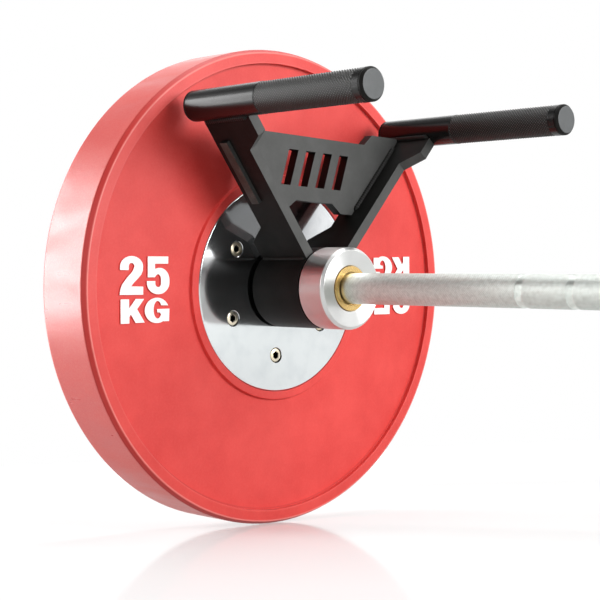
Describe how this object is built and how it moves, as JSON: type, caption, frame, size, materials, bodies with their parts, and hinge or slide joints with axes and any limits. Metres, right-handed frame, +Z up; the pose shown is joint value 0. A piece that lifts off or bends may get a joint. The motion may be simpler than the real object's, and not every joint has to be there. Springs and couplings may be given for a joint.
{
  "type": "t-bar row set",
  "caption": "Long bar with revolving sleeves, a bumper plate on one sleeve and a two-grip V handle turning beside it for rowing pulls.",
  "frame": {"origin": "on the floor under the middle of the set's length and width", "axes": "+X along the set's length from the loaded end to the far sleeve, +Y across, +Z up; the bar itself slopes down 6.16 degrees towards +X"},
  "size_m": [2.1924, 0.4496, 0.4529],
  "materials": {
    "bar_steel": "satin, knurled in bands",
    "chrome": "hard chrome, bright",
    "bronze": "machined bearing bronze",
    "polished_steel": "mirror polished",
    "screw_steel": "bright zinc",
    "red_rubber": "moulded, satin face and shiny scuffed rim",
    "black_coating": "fine satin powder coat",
    "black_nylon": "machined nylon"
  },
  "bodies": {
    "bar_shaft": {"shaft": "bar_steel", "retaining_ring_near": "bar_steel", "retaining_ring_far": "bar_steel", "thrust_washer_near": "bar_steel", "thrust_washer_far": "bar_steel"},
    "near_sleeve": {"sleeve_near": "chrome", "collar_near": "chrome", "bushing_inner_near": "bronze", "bushing_outer_near": "bronze", "end_cap_near": "chrome"},
    "far_sleeve": {"sleeve_far": "chrome", "collar_far": "chrome", "bushing_inner_far": "bronze", "bushing_outer_far": "bronze", "end_cap_far": "chrome"},
    "plate": {"plate_rubber": "red_rubber", "bore_bush": "polished_steel", "hub_core": "bar_steel", "hub_disc_front": "polished_steel", "hub_disc_rear": "polished_steel", "hub_screw_front_1": "screw_steel", "hub_screw_front_2": "screw_steel", "hub_screw_front_3": "screw_steel", "hub_screw_front_4": "screw_steel", "hub_screw_front_5": "screw_steel", "hub_screw_front_6": "screw_steel", "hub_screw_rear_1": "screw_steel", "hub_screw_rear_2": "screw_steel", "hub_screw_rear_3": "screw_steel", "hub_screw_rear_4": "screw_steel", "hub_screw_rear_5": "screw_steel", "hub_screw_rear_6": "screw_steel"},
    "handle": {"handle_tube": "black_coating", "handle_liner": "black_nylon", "arm_left": "black_coating", "arm_right": "black_coating", "cross_plate": "black_coating", "grip_left": "black_coating", "grip_right": "black_coating", "grip_tip_cap_left": "black_coating", "grip_tip_cap_right": "black_coating", "grip_root_cap_left": "black_coating", "grip_root_cap_right": "black_coating"}
  },
  "joints": [
    {"name": "near_sleeve_spin", "type": "hinge", "parent": "bar_shaft", "child": "near_sleeve", "pos_m": [-0.68105, 0, 0.21583], "axis": [0.9942, 0, -0.1073], "continuous": true},
    {"name": "far_sleeve_spin", "type": "hinge", "parent": "bar_shaft", "child": "far_sleeve", "pos_m": [0.68105, 0, 0.06887], "axis": [0.9942, 0, -0.1073], "continuous": true},
    {"name": "handle_turn", "type": "hinge", "parent": "near_sleeve", "child": "handle", "pos_m": [-0.71416, 0, 0.2194], "axis": [0.9942, 0, -0.1073], "continuous": true},
    {"name": "plate_slide", "type": "slide", "parent": "near_sleeve", "child": "plate", "axis": [-0.9942, 0, 0.1073], "range_m": [0, 0.28]}
  ]
}
